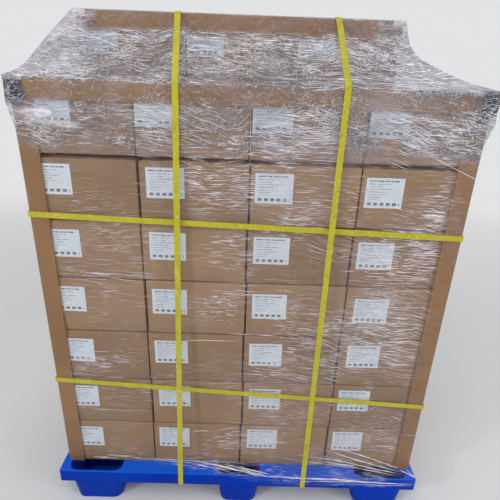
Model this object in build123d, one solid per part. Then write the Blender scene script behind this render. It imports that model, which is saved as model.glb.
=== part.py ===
"""Shrink wrapped pallet load: a nestable plastic pallet, seven layers of cartons and a
smaller tier on top, paperboard edge boards, stretch film and four plastic straps.

Millimetres, +Z up, +X to the right of the front, +Y away from the front. The origin is on
the floor under the middle of the pallet.
"""

import os

from build123d import *

# Pallet, one moulding.
PALLET_X = 1200.0
PALLET_Y = 1000.0
PALLET_HEIGHT = 140.0
PALLET_CORNER_RADIUS = 12.0
DECK_SKIN = 5.0
RIM_HEIGHT = 42.0
RIM_WALL = 5.0
RIM_TOP_RADIUS = 5.0

# Legs: tapered cups, open at the deck.
LEG_SPACING_X = 482.5
LEG_SPACING_Y = 418.0
OUTER_POCKET_X = 175.0
MIDDLE_POCKET_X = 145.0
POCKET_Y = 148.0
POCKET_RADIUS = 26.0
LEG_INSET = 15.0
LEG_WALL = 4.0
LEG_FLOOR = 6.0
SOLE_CHAMFER = 4.0

# Ribs under the deck.
RIB_HEIGHT = 30.0
RIB_THICKNESS = 4.0
RIBS_PER_BAY_X = 2
RIBS_PER_BAY_Y = 1

# Cartons.
CARTON_X = 285.0
CARTON_Y = 297.0
CARTON_HEIGHT = 172.6
CARTON_GAP_X = 5.0
CARTON_GAP_Y = 4.0
CARTON_EDGE = 3.0
CROWN_HEIGHT = 2.0
CROWN_RUN = 12.0
BULGED_LAYER = 6
BULGED_CROWN_HEIGHT = 8.0
FLAP_GAP = 2.0
BOARD_CALIPER = 3.0
COLUMNS = 4
ROWS = 3
LAYERS = 7
LOAD_SHIFT_X = 3.5
COLUMN_NUDGE = 1.5

# Tier on top.
TIER_COLUMNS = 3
TIER_ROWS = 2
TIER_SHIFT_X = -39.0
TIER_SHIFT_Y = 16.0

# Labels on the fronts.
LABEL_X = 100.0
LABEL_Z = 80.0
LABEL_THICKNESS = 0.2
# Each label's distance from its carton's left edge, columns from the left, lowest layer first.
LABEL_LEFT_MARGINS = [
    (18.0, 17.0, 20.0, 15.0),
    (18.0, 20.0, 18.0, 16.0),
    (21.0, 18.0, 16.0, 24.0),
    (14.0, 16.0, 16.0, 25.0),
    (19.0, 20.0, 16.0, 13.0),
    (15.0, 17.0, 11.0, 12.0),
    (32.0, 1.0, 2.0, 1.0),
]
# Each label's height above its carton's bottom, in the same order.
LABEL_FOOT_MARGINS = [
    (65.0, 70.0, 72.0, 73.0),
    (60.0, 69.0, 66.0, 70.0),
    (61.0, 63.0, 62.0, 66.0),
    (63.0, 63.0, 57.0, 52.0),
    (62.0, 62.0, 59.0, 53.0),
    (66.0, 65.0, 60.0, 58.0),
    (72.0, 72.0, 67.0, 65.0),
]
TIER_LABEL_LEFT_MARGINS = (7.0, 1.0, 12.0)
TIER_LABEL_FOOT_MARGINS = (72.0, 74.0, 76.0)

# Paperboard angle boards.
BOARD_LEG = 50.0
BOARD_THICKNESS = 5.0
BOARD_OUTER_RADIUS = 4.0
BOARD_CLEARANCE = 0.3
# The uprights stop this far below the lower edge of the top boards.
UPRIGHT_GAP = 3.0
TOP_BOARD_LENGTH = 1088.0
TOP_BOARD_SHIFT_X = -5.0
TIER_BOARD_LENGTH = 810.0

# Film.
FILM_BUILD = 1.0
FILM_CLEARANCE = 0.3
FILM_HEM_ABOVE_DECK = 10.0
FILM_SKIRT_DROP = 30.0
FILM_BARE_X = 300.0
FILM_BARE_Y = 200.0
FILM_TOP_BORDER = 90.0

# Straps.
STRAP_WIDTH = 16.0
STRAP_THICKNESS = 0.8
STRAP_CLEARANCE = 0.2
# Length of the welded overlap that closes each loop.
WELD_LENGTH = 60.0
VERTICAL_STRAPS = {
    "strap_vertical_left": {"tier": -198.0, "block": -181.0, "foot": -193.0},
    "strap_vertical_right": {"tier": 223.0, "block": 232.0, "foot": 216.0},
}
GIRTH_STRAPS = {
    "strap_girth_upper": {"left": 874.0, "right": 844.5},
    "strap_girth_lower": {"left": 338.0, "right": 272.0},
}

# Cutting tools run this far past what they cut.
BEYOND = 150.0

# Sizes that follow from the ones above.
DECK = PALLET_HEIGHT
STACK_X = COLUMNS * CARTON_X + (COLUMNS - 1) * CARTON_GAP_X
STACK_Y = ROWS * CARTON_Y + (ROWS - 1) * CARTON_GAP_Y
STACK_LEFT = LOAD_SHIFT_X - STACK_X / 2
STACK_RIGHT = LOAD_SHIFT_X + STACK_X / 2
STACK_FRONT = -STACK_Y / 2
STACK_TOP = DECK + LAYERS * CARTON_HEIGHT
TIER_X = TIER_COLUMNS * CARTON_X + (TIER_COLUMNS - 1) * CARTON_GAP_X
TIER_Y = TIER_ROWS * CARTON_Y + (TIER_ROWS - 1) * CARTON_GAP_Y
TIER_MIDDLE_X = LOAD_SHIFT_X + TIER_SHIFT_X
TIER_LEFT = TIER_MIDDLE_X - TIER_X / 2
TIER_FRONT = TIER_SHIFT_Y - TIER_Y / 2
TIER_TOP = STACK_TOP + CARTON_HEIGHT
TOP_BOARD_FOOT = STACK_TOP + BOARD_THICKNESS - BOARD_LEG
UPRIGHT_LENGTH = TOP_BOARD_FOOT - UPRIGHT_GAP - DECK
BOARD_STAND_OFF = BOARD_CLEARANCE + BOARD_THICKNESS
LOW = (Align.MIN, Align.MIN, Align.MIN)


def block(low, high):
    """A box between two opposite corners."""
    size = [b - a for a, b in zip(low, high)]
    return Pos(*low) * Box(*size, align=LOW)


def flat_sided(sections):
    """Flat-faced solid through rectangles given as (z, left, right, front, back), lowest first."""
    rings = [
        [(left, front, z), (right, front, z), (right, back, z), (left, back, z)]
        for z, left, right, front, back in sections
    ]
    outlines = [rings[0], rings[-1]]
    for lower, upper in zip(rings, rings[1:]):
        for k in range(len(lower)):
            after = (k + 1) % len(lower)
            outlines.append([lower[k], lower[after], upper[after], upper[k]])
    return Solid(Shell([Face(Wire.make_polygon(points)) for points in outlines]))


def cup(size_x, size_y, radius, low, high):
    """A round-cornered plug between two heights that narrows downwards by the legs' draft."""
    inset = LEG_INSET * (high - low) / PALLET_HEIGHT
    sections = [
        (z, -size_x / 2 + step, size_x / 2 - step, -size_y / 2 + step, size_y / 2 - step)
        for z, step in ((low, inset), (high, 0.0))
    ]
    plug = flat_sided(sections)
    slanted = plug.edges().group_by(Axis.Z)[1]
    return fillet(slanted, radius)


def leg_places():
    """Centre and pocket width of each of the nine legs."""
    for column in (-1, 0, 1):
        pocket_x = OUTER_POCKET_X if column else MIDDLE_POCKET_X
        for row in (-1, 0, 1):
            yield column * LEG_SPACING_X, row * LEG_SPACING_Y, pocket_x


def rib_lines(spacing, per_bay):
    """Rib positions on the legs' lines and evenly between them."""
    steps = per_bay + 1
    return [spacing * k / steps for k in range(-steps, steps + 1)]


def make_pallet():
    outline = RectangleRounded(PALLET_X, PALLET_Y, PALLET_CORNER_RADIUS)
    tray = Pos(0, 0, DECK - RIM_HEIGHT) * extrude(outline, RIM_HEIGHT)
    tray = fillet(tray.faces().sort_by(Axis.Z)[-1].edges(), RIM_TOP_RADIUS)
    well = RectangleRounded(
        PALLET_X - 2 * RIM_WALL, PALLET_Y - 2 * RIM_WALL, PALLET_CORNER_RADIUS - RIM_WALL
    )
    body = tray - Pos(0, 0, DECK - RIM_HEIGHT) * extrude(well, RIM_HEIGHT - DECK_SKIN)
    under = DECK - DECK_SKIN
    reach_x = PALLET_X / 2 - RIM_WALL
    reach_y = PALLET_Y / 2 - RIM_WALL
    half = RIB_THICKNESS / 2
    ribs = [
        block((x - half, -reach_y, under - RIB_HEIGHT), (x + half, reach_y, under))
        for x in rib_lines(LEG_SPACING_X, RIBS_PER_BAY_X)
    ]
    ribs += [
        block((-reach_x, y - half, under - RIB_HEIGHT), (reach_x, y + half, under))
        for y in rib_lines(LEG_SPACING_Y, RIBS_PER_BAY_Y)
    ]
    body = body.fuse(*ribs)
    legs = []
    pockets = []
    for x, y, pocket_x in leg_places():
        outer = cup(pocket_x + 2 * LEG_WALL, POCKET_Y + 2 * LEG_WALL, POCKET_RADIUS + LEG_WALL, 0, under)
        sole = outer.faces().sort_by(Axis.Z)[0]
        legs.append(Pos(x, y, 0) * chamfer(sole.edges(), SOLE_CHAMFER))
        pockets.append(Pos(x, y, 0) * cup(pocket_x, POCKET_Y, POCKET_RADIUS, LEG_FLOOR, DECK))
    body = body.fuse(*legs)
    return body.cut(*pockets)


def make_carton(crown):
    """One closed carton: broken edges, top flaps that crown a little and the gap where they meet."""
    body = Box(CARTON_X, CARTON_Y, CARTON_HEIGHT, align=(Align.CENTER, Align.CENTER, Align.MIN))
    top = body.faces().sort_by(Axis.Z)[-1]
    body = chamfer(top.edges(), CROWN_RUN, crown, reference=top)
    body = chamfer(body.edges().filter_by(Axis.Z), CARTON_EDGE)
    gap = block(
        (-CARTON_X, -FLAP_GAP / 2, CARTON_HEIGHT - BOARD_CALIPER),
        (CARTON_X, FLAP_GAP / 2, CARTON_HEIGHT + BOARD_CALIPER),
    )
    return body - gap


def carton_places(left, front, columns, rows, floor, nudge=0.0):
    """Bottom centres of a layer; the inner columns may lie a little off their pitch."""
    for column in range(columns):
        inner = 0 < column < columns - 1
        off = nudge if inner else 0.0
        x = left + CARTON_X / 2 + column * (CARTON_X + CARTON_GAP_X) + off
        for row in range(rows):
            y = front + CARTON_Y / 2 + row * (CARTON_Y + CARTON_GAP_Y)
            yield x, y, floor


def layer_places(number, rows=ROWS):
    """Bottom centres in one layer of the block, whose inner columns are nudged to and fro."""
    nudge = COLUMN_NUDGE * (-1) ** number
    floor = DECK + (number - 1) * CARTON_HEIGHT
    return carton_places(STACK_LEFT, STACK_FRONT, COLUMNS, rows, floor, nudge)


def tier_places(rows=TIER_ROWS):
    return carton_places(TIER_LEFT, TIER_FRONT, TIER_COLUMNS, rows, STACK_TOP)


def make_layer(number):
    carton = make_carton(BULGED_CROWN_HEIGHT if number == BULGED_LAYER else CROWN_HEIGHT)
    return Compound(children=[Pos(*place) * carton for place in layer_places(number)])


def make_tier():
    carton = make_carton(CROWN_HEIGHT)
    return Compound(children=[Pos(*place) * carton for place in tier_places()])


def labels_on(places, front, left_margins, foot_margins):
    """Labels on a row of carton fronts; the margins start again if the row is longer."""
    for k, (x, _, floor) in enumerate(places):
        left = x - CARTON_X / 2 + left_margins[k % len(left_margins)]
        foot = floor + foot_margins[k % len(foot_margins)]
        yield block((left, front - LABEL_THICKNESS, foot), (left + LABEL_X, front, foot + LABEL_Z))


def make_labels():
    labels = []
    for number in range(1, LAYERS + 1):
        row = (number - 1) % len(LABEL_LEFT_MARGINS)
        places = layer_places(number, rows=1)
        labels += labels_on(places, STACK_FRONT, LABEL_LEFT_MARGINS[row], LABEL_FOOT_MARGINS[row])
    places = tier_places(rows=1)
    labels += labels_on(places, TIER_FRONT, TIER_LABEL_LEFT_MARGINS, TIER_LABEL_FOOT_MARGINS)
    return Compound(children=labels)


def angle_section():
    """L section with its outer corner at the origin, legs along +X and +Y."""
    section = Polygon(
        (0, 0),
        (BOARD_LEG, 0),
        (BOARD_LEG, BOARD_THICKNESS),
        (BOARD_THICKNESS, BOARD_THICKNESS),
        (BOARD_THICKNESS, BOARD_LEG),
        (0, BOARD_LEG),
        align=None,
    )
    corner = section.vertices().sort_by(Axis((0, 0, 0), (1, 1, 0)))[0]
    return fillet(corner, BOARD_OUTER_RADIUS)


def make_upright(side_x, side_y):
    """Upright angle board round one vertical edge of the block."""
    quarter_turn = {(-1, -1): 0, (1, -1): 90, (1, 1): 180, (-1, 1): 270}[side_x, side_y]
    x = LOAD_SHIFT_X + side_x * (STACK_X / 2 + BOARD_STAND_OFF)
    y = side_y * (STACK_Y / 2 + BOARD_STAND_OFF)
    return Pos(x, y, DECK) * Rot(0, 0, quarter_turn) * extrude(angle_section(), UPRIGHT_LENGTH)


def make_edge_board(length, middle_x, outer_y, top, side_y):
    """Angle board along a top edge, one leg on the cartons and one down their face."""
    section = Plane.YZ * mirror(angle_section(), Plane.XZ)
    board = extrude(section, length)
    if side_y > 0:
        board = mirror(board, Plane.XZ)
    return Pos(middle_x - length / 2, outer_y, top + BOARD_THICKNESS) * board


def film_sections(grow, bottom_grow):
    """Sections of the wrap; grow pushes them out from the surface that the film lies on."""
    side = BOARD_STAND_OFF + FILM_CLEARANCE + grow
    lip = FILM_CLEARANCE + grow
    left, right = STACK_LEFT - side, STACK_RIGHT + side
    front, back = STACK_FRONT - side, -STACK_FRONT + side
    shoulder = STACK_TOP + BOARD_THICKNESS + FILM_CLEARANCE + grow
    tier_top = TIER_TOP + BOARD_THICKNESS + FILM_CLEARANCE + grow
    return [
        (DECK - FILM_SKIRT_DROP - bottom_grow, -PALLET_X / 2 - lip, PALLET_X / 2 + lip,
         -PALLET_Y / 2 - lip, PALLET_Y / 2 + lip),
        (DECK + lip, -PALLET_X / 2 - lip, PALLET_X / 2 + lip, -PALLET_Y / 2 - lip, PALLET_Y / 2 + lip),
        (DECK + FILM_HEM_ABOVE_DECK + grow, left, right, front, back),
        (shoulder, left, right, front, back),
        (tier_top, TIER_LEFT - side, TIER_LEFT + TIER_X + side,
         TIER_FRONT - side, TIER_FRONT + TIER_Y + side),
    ]


def make_film():
    wrap = flat_sided(film_sections(FILM_BUILD, 0.0)) - flat_sided(film_sections(0.0, 1.0))
    opening = block(
        (TIER_LEFT + FILM_TOP_BORDER, TIER_FRONT + FILM_TOP_BORDER, TIER_TOP),
        (TIER_LEFT + TIER_X - FILM_TOP_BORDER, TIER_FRONT + TIER_Y - FILM_TOP_BORDER, TIER_TOP + BEYOND),
    )
    bare_corner = block(
        (-PALLET_X, -PALLET_Y, 0),
        (-PALLET_X / 2 + FILM_BARE_X, -PALLET_Y / 2 + FILM_BARE_Y, DECK + FILM_HEM_ABOVE_DECK),
    )
    return wrap - opening - bare_corner


def taut(supports):
    """The points that a tight loop round all the supports touches, in order."""
    def turn(a, b, c):
        return (b[0] - a[0]) * (c[1] - a[1]) - (b[1] - a[1]) * (c[0] - a[0])

    ordered = sorted(supports)
    loop = []
    for run in (ordered, ordered[::-1]):
        chain = []
        for point in run:
            while len(chain) > 1 and turn(chain[-2], chain[-1], point) <= 0:
                chain.pop()
            chain.append(point)
        loop += chain[:-1]
    return loop


def make_vertical_strap(place):
    """Tight loop over the tier and the block's top edges and under the pallet's rim."""
    skin = FILM_CLEARANCE + FILM_BUILD + STRAP_CLEARANCE
    tier_z = TIER_TOP + BOARD_THICKNESS + skin
    tier_y = BOARD_STAND_OFF + skin
    edge_z = STACK_TOP + BOARD_THICKNESS + skin
    rim_y = PALLET_Y / 2 + skin
    rim_z = DECK + skin
    under_z = DECK - RIM_HEIGHT - STRAP_CLEARANCE
    wall_y = STACK_Y / 2 + BOARD_STAND_OFF + skin
    supports = [(TIER_FRONT - tier_y, tier_z), (TIER_FRONT + TIER_Y + tier_y, tier_z)]
    for side in (-1, 1):
        supports += [
            (side * wall_y, edge_z),
            (side * wall_y, DECK + FILM_HEM_ABOVE_DECK),
            (side * rim_y, rim_z),
            (side * rim_y, under_z),
        ]
    path = Polygon(*taut(supports), align=None)
    ring = offset(path, STRAP_THICKNESS, kind=Kind.INTERSECTION) - path
    belt = extrude(Plane.YZ * ring, PALLET_X / 2, both=True)
    half = STRAP_WIDTH / 2
    top = tier_z + 2 * STRAP_THICKNESS
    low = under_z - 2 * STRAP_THICKNESS
    right_side = [(place["foot"] + half, low), (place["foot"] + half, rim_z),
                  (place["block"] + half, edge_z), (place["tier"] + half, top)]
    left_side = [(x - STRAP_WIDTH, z) for x, z in reversed(right_side)]
    lane = Polygon(*right_side, *left_side, align=None)
    slab = extrude(Plane.XZ * lane, PALLET_Y, both=True)
    crest = tier_z + STRAP_THICKNESS
    lap = block((-PALLET_X / 2, TIER_SHIFT_Y, crest), (PALLET_X / 2, TIER_SHIFT_Y + WELD_LENGTH, top))
    return (belt + lap) & slab


def make_girth_strap(place):
    """Loop round the block outside the film, lower at the right than at the left."""
    skin = BOARD_STAND_OFF + FILM_CLEARANCE + FILM_BUILD + STRAP_CLEARANCE
    path = Pos(LOAD_SHIFT_X, 0) * Rectangle(STACK_X + 2 * skin, STACK_Y + 2 * skin)
    ring = offset(path, STRAP_THICKNESS, kind=Kind.INTERSECTION) - path
    belt = extrude(ring, STACK_TOP)
    half = STRAP_WIDTH / 2
    reach = STACK_X / 2 + BEYOND
    slope = (place["right"] - place["left"]) / STACK_X
    middle = DECK + (place["right"] + place["left"]) / 2
    rise = slope * reach
    lane = Polygon(
        (LOAD_SHIFT_X - reach, middle - rise - half),
        (LOAD_SHIFT_X + reach, middle + rise - half),
        (LOAD_SHIFT_X + reach, middle + rise + half),
        (LOAD_SHIFT_X - reach, middle - rise + half),
        align=None,
    )
    slab = extrude(Plane.XZ * lane, PALLET_Y, both=True)
    back = STACK_Y / 2 + skin + STRAP_THICKNESS
    lap = block((LOAD_SHIFT_X, back, DECK), (LOAD_SHIFT_X + WELD_LENGTH, back + STRAP_THICKNESS, STACK_TOP))
    return (belt + lap) & slab


def write(node, shape):
    export_step(shape, f"parts/{node}.step")
    print(node, "solids", len(shape.solids()), "volume", round(shape.volume / 1e3, 1), "cm3")


def main():
    os.makedirs("parts", exist_ok=True)
    write("pallet", make_pallet())
    for number in range(1, LAYERS + 1):
        write(f"carton_layer_{number}", make_layer(number))
    write("carton_tier", make_tier())
    write("shipping_labels", make_labels())
    for side_x, name_x in ((-1, "left"), (1, "right")):
        for side_y, name_y in ((-1, "front"), (1, "back")):
            write(f"corner_board_{name_y}_{name_x}", make_upright(side_x, side_y))
    top_board_x = LOAD_SHIFT_X + TOP_BOARD_SHIFT_X
    for side_y, name_y in ((-1, "front"), (1, "back")):
        block_y = side_y * (STACK_Y / 2 + BOARD_STAND_OFF)
        tier_y = TIER_SHIFT_Y + side_y * (TIER_Y / 2 + BOARD_STAND_OFF)
        write(f"top_board_{name_y}",
              make_edge_board(TOP_BOARD_LENGTH, top_board_x, block_y, STACK_TOP, side_y))
        write(f"tier_board_{name_y}",
              make_edge_board(TIER_BOARD_LENGTH, TIER_MIDDLE_X, tier_y, TIER_TOP, side_y))
    write("stretch_film", make_film())
    for node, place in VERTICAL_STRAPS.items():
        write(node, make_vertical_strap(place))
    for node, place in GIRTH_STRAPS.items():
        write(node, make_girth_strap(place))


main()
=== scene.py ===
import bmesh
import bpy
import math
import random
from mathutils import Matrix, Vector, noise


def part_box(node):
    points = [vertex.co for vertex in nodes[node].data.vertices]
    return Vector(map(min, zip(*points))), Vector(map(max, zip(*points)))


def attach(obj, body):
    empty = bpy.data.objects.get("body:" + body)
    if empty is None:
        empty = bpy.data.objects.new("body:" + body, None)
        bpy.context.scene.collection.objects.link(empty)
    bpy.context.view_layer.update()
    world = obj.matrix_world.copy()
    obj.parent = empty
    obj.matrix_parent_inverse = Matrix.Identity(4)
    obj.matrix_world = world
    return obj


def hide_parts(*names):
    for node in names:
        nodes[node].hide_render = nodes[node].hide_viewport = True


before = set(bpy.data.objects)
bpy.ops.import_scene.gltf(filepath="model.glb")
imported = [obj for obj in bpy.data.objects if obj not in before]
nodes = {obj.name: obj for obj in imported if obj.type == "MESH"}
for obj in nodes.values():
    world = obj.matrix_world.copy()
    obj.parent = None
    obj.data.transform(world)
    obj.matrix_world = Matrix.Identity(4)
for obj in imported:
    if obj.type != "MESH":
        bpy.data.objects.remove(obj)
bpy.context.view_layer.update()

palletLow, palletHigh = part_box("pallet")
blockLow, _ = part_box("carton_layer_1")
_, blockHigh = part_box("carton_layer_7")
tierLow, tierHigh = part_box("carton_tier")
deckZ = palletHigh.z

# Points closer than this are one point
touching = 0.00001


# Small helpers that every piece uses

def clearSelection():
    if bpy.context.object and bpy.context.object.mode != "OBJECT":
        bpy.ops.object.mode_set(mode="OBJECT")
    bpy.ops.object.select_all(action="DESELECT")


def selectOnly(piece):
    clearSelection()
    piece.select_set(True)
    bpy.context.view_layer.objects.active = piece


def bakePlace(piece):
    selectOnly(piece)
    bpy.ops.object.transform_apply(location=True, rotation=True, scale=True)


def startPlane(width, depth, turn=(0, 0, 0)):
    # A plane round the origin, left selected and ready to be shaped
    clearSelection()
    bpy.ops.mesh.primitive_plane_add(size=1, rotation=turn)
    piece = bpy.context.object
    piece.scale = (width, depth, 1)
    bakePlace(piece)
    return piece


def pick(piece, kind, wanted):
    # Selects the faces or edges that wanted accepts, and goes into edit mode
    selectOnly(piece)
    bpy.ops.object.mode_set(mode="EDIT")
    bpy.ops.mesh.select_mode(type=kind)
    bpy.ops.mesh.select_all(action="DESELECT")
    leaveEdit()
    for part in piece.data.polygons if kind == "FACE" else piece.data.edges:
        part.select = bool(wanted(part))
    bpy.ops.object.mode_set(mode="EDIT")


def editAll(piece):
    selectOnly(piece)
    bpy.ops.object.mode_set(mode="EDIT")
    bpy.ops.mesh.select_all(action="SELECT")


def leaveEdit():
    bpy.ops.object.mode_set(mode="OBJECT")


def extrude(x, y, z):
    bpy.ops.mesh.extrude_region_move(TRANSFORM_OT_translate={"value": (x, y, z)})


def applyModifiers(piece):
    selectOnly(piece)
    for modifier in list(piece.modifiers):
        bpy.ops.object.modifier_apply(modifier=modifier.name)


def thicken(piece, thickness):
    # Gives a sheet its wall, half on each side
    wall = piece.modifiers.new("thickness", "SOLIDIFY")
    wall.thickness = thickness
    wall.offset = 0
    applyModifiers(piece)


def copyOf(piece, name, offset):
    twin = piece.copy()
    twin.data = piece.data.copy()
    twin.name = name
    bpy.context.scene.collection.objects.link(twin)
    twin.data.transform(Matrix.Translation(offset))
    return twin


def joinAll(pieces, name):
    clearSelection()
    for piece in pieces:
        piece.select_set(True)
    bpy.context.view_layer.objects.active = pieces[0]
    bpy.ops.object.join()
    joined = bpy.context.object
    joined.name = name
    joined.data.name = name
    return joined


def meshPiece(name, verts, faces, uvs, fields):
    # A smooth mesh with a UV for each face corner and named values for each vertex
    mesh = bpy.data.meshes.new(name)
    mesh.from_pydata(verts, [], faces)
    piece = bpy.data.objects.new(name, mesh)
    bpy.context.scene.collection.objects.link(piece)
    layer = mesh.uv_layers.new(name="UVMap")
    for corner, uv in zip(layer.data, uvs):
        corner.uv = uv
    for label, values in fields.items():
        mesh.attributes.new(label, "FLOAT", "POINT").data.foreach_set("value", values)
    mesh.polygons.foreach_set("use_smooth", [True] * len(mesh.polygons))
    return piece


def solidBoxes(nodeName):
    # Lowest and highest corner of each separate solid in a CAD node
    shape = bmesh.new()
    shape.from_mesh(nodes[nodeName].data)
    bmesh.ops.remove_doubles(shape, verts=shape.verts, dist=touching)
    waiting = set(shape.verts)
    boxes = []
    while waiting:
        found = {waiting.pop()}
        rim = list(found)
        while rim:
            vert = rim.pop()
            reached = {edge.other_vert(vert) for edge in vert.link_edges} & waiting
            waiting -= reached
            found |= reached
            rim.extend(reached)
        low = Vector([min(v.co[k] for v in found) for k in range(3)])
        high = Vector([max(v.co[k] for v in found) for k in range(3)])
        boxes.append((low, high))
    shape.free()
    return sorted(boxes, key=lambda b: (round(b[0].z, 3), round(b[0].y, 3), b[0].x))


def dress(piece, material, replaced=()):
    piece.data.materials.clear()
    piece.data.materials.append(material)
    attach(piece, "root")
    if replaced:
        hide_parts(*replaced)


def recoat(nodeNames, material):
    # A CAD node that is shown as it is gets its finish
    for nodeName in nodeNames:
        for materialSlot in nodes[nodeName].material_slots:
            materialSlot.material = material


# Shader building

def newMaterial(name):
    material = bpy.data.materials.new(name)
    material.use_nodes = True
    tree = material.node_tree
    return material, tree, tree.nodes["Principled BSDF"]


def plug(tree, value, socket):
    # Links an output socket, or sets a plain value
    if isinstance(value, bpy.types.NodeSocket):
        tree.links.new(value, socket)
    else:
        socket.default_value = value


def put(tree, kind, inputs=None, **settings):
    node = tree.nodes.new(kind)
    for key, value in settings.items():
        setattr(node, key, value)
    for key, value in (inputs or {}).items():
        plug(tree, value, node.inputs[key])
    return node


def maths(tree, operation, *values, clamp=False):
    # One operation over a chain of values, such as the product of three
    total = values[0]
    for value in values[1:] or (0.0,):
        node = put(tree, "ShaderNodeMath", {0: total, 1: value}, operation=operation, use_clamp=clamp)
        total = node.outputs[0]
    return total


def times(tree, *values):
    return maths(tree, "MULTIPLY", *values)


def plus(tree, *values):
    return maths(tree, "ADD", *values)


def most(tree, *values):
    return maths(tree, "MAXIMUM", *values)


def within(tree, value, low, high):
    # 1 between two limits, 0 elsewhere
    return times(tree, maths(tree, "GREATER_THAN", value, low), maths(tree, "LESS_THAN", value, high))


def ramp(tree, value, low, high, toLow=0.0, toHigh=1.0):
    node = put(tree, "ShaderNodeMapRange", {"Value": value, "From Min": low, "From Max": high,
                                            "To Min": toLow, "To Max": toHigh}, clamp=True)
    return node.outputs["Result"]


def blendColour(tree, factor, first, second):
    node = put(tree, "ShaderNodeMix", {"Factor": factor}, data_type="RGBA")
    sockets = [s for s in node.inputs if s.type == "RGBA"]
    plug(tree, first, sockets[0])
    plug(tree, second, sockets[1])
    return [s for s in node.outputs if s.type == "RGBA"][0]


def split(tree, vector):
    return put(tree, "ShaderNodeSeparateXYZ", {0: vector}).outputs


def vectorMaths(tree, operation, inputs):
    return put(tree, "ShaderNodeVectorMath", inputs, operation=operation).outputs[0]


def stretched(tree, vector, scale, turn=0.0):
    return put(tree, "ShaderNodeMapping", {"Vector": vector, "Scale": scale,
                                           "Rotation": (0, 0, math.radians(turn))}).outputs[0]


def along(tree, vector, lengthwise, across, degrees):
    # Turns the pattern's first axis to an angle, then stretches it: detail per metre along and across
    return put(tree, "ShaderNodeMapping", {"Vector": vector, "Scale": (1 / lengthwise, 1 / across, 1.0),
                                           "Rotation": (0, 0, math.radians(degrees))},
               vector_type="TEXTURE").outputs[0]


def noiseAt(tree, vector, scale, detail=3.0, rough=0.5, output=0):
    return put(tree, "ShaderNodeTexNoise", {"Vector": vector, "Scale": scale, "Detail": detail,
                                            "Roughness": rough}).outputs[output]


def newGroup(name, inputs, outputs):
    # Inputs are (name, usual value), or a name alone for a vector; every output is a number
    group = bpy.data.node_groups.new(name, "ShaderNodeTree")
    for entry in inputs:
        label, value = entry if isinstance(entry, tuple) else (entry, None)
        kind = "NodeSocketVector" if value is None else "NodeSocketFloat"
        socket = group.interface.new_socket(name=label, in_out="INPUT", socket_type=kind)
        if value is not None:
            socket.default_value = value
    for label in outputs:
        group.interface.new_socket(name=label, in_out="OUTPUT", socket_type="NodeSocketFloat")
    return group, group.nodes.new("NodeGroupInput").outputs, group.nodes.new("NodeGroupOutput").inputs


def useGroup(tree, group, inputs):
    return put(tree, "ShaderNodeGroup", inputs, node_tree=group).outputs


def readUv(tree):
    return put(tree, "ShaderNodeTexCoord").outputs["UV"]


def readObject(tree):
    return put(tree, "ShaderNodeTexCoord").outputs["Object"]


def readAttribute(tree, name):
    return put(tree, "ShaderNodeAttribute", attribute_name=name).outputs["Fac"]


def facingOf(tree):
    return split(tree, put(tree, "ShaderNodeNewGeometry").outputs["Normal"])


def coat(tree, shader, colour, rough, height, strength, distance):
    # Feeds a material's colour, its roughness and the bump that a height field makes
    bump = put(tree, "ShaderNodeBump", {"Height": height, "Strength": strength, "Distance": distance})
    plug(tree, colour, shader.inputs["Base Color"])
    plug(tree, rough, shader.inputs["Roughness"])
    plug(tree, bump.outputs[0], shader.inputs["Normal"])


def srgb(red, green, blue):
    # A colour as an eyedropper reads it, 0 to 255, as a linear one
    shares = [part / 255 for part in (red, green, blue)]
    linear = [share / 12.92 if share <= 0.04045 else ((share + 0.055) / 1.055) ** 2.4 for share in shares]
    return (*linear, 1.0)


# Camera, lights and floor

studio = {
    "cameraAt": (0.0009, -1.4882, 1.3241),
    "cameraTurn": (69.2211, -1.9650, 0.1581),
    "lens": 28.945,
    "sensorWidth": 36,
    "seesTo": 60,
    "worldStrength": 0.45,
    "backdrop": (0.76, 0.77, 0.78, 1),
    "floor": (0.70, 0.71, 0.72, 1),
    "floorRoughness": 0.85,
    "floorSize": 60.0,
    "floorAt": (0, 4, 0),
    "floorFade": (1.6, 5.0),
    "lamps": [
        # name, place, aimed at, size across, watts
        ("ceilingLamp", (-0.5, -2.4, 4.0), (0.0, -0.2, 0.8), 2.4, 48),
        ("leftLamp", (-3.2, -2.9, 2.3), (0.0, 0.0, 0.7), 0.6, 50),
        ("rightLamp", (3.2, -2.2, 1.9), (0.0, 0.0, 0.5), 1.4, 36),
        ("backLamp", (0.8, 3.6, 3.2), (0.0, 0.0, 0.8), 3.0, 52),
    ],
}


def seenBy(tree, *rays):
    # 1 for the named kinds of ray, 0 for the rest
    path = put(tree, "ShaderNodeLightPath")
    return most(tree, *[path.outputs[f"Is {ray} Ray"] for ray in rays])


def mixShaders(tree, factor, first, second):
    return put(tree, "ShaderNodeMixShader", {0: factor, 1: first, 2: second}).outputs[0]


def setUpCamera():
    bpy.ops.object.camera_add(location=studio["cameraAt"],
                              rotation=[math.radians(a) for a in studio["cameraTurn"]])
    camera = bpy.context.object
    camera.name = "loadCamera"
    camera.data.lens = studio["lens"]
    camera.data.sensor_width = studio["sensorWidth"]
    camera.data.sensor_fit = "HORIZONTAL"
    camera.data.clip_end = studio["seesTo"]
    bpy.context.scene.camera = camera


def setUpLamps():
    for name, place, aim, size, watts in studio["lamps"]:
        turn = (Vector(aim) - Vector(place)).to_track_quat("-Z", "Y").to_euler()
        bpy.ops.object.light_add(type="AREA", location=place, rotation=turn)
        lamp = bpy.context.object
        lamp.name = name
        lamp.data.shape = "DISK"
        lamp.data.size = size
        lamp.data.energy = watts


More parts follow.
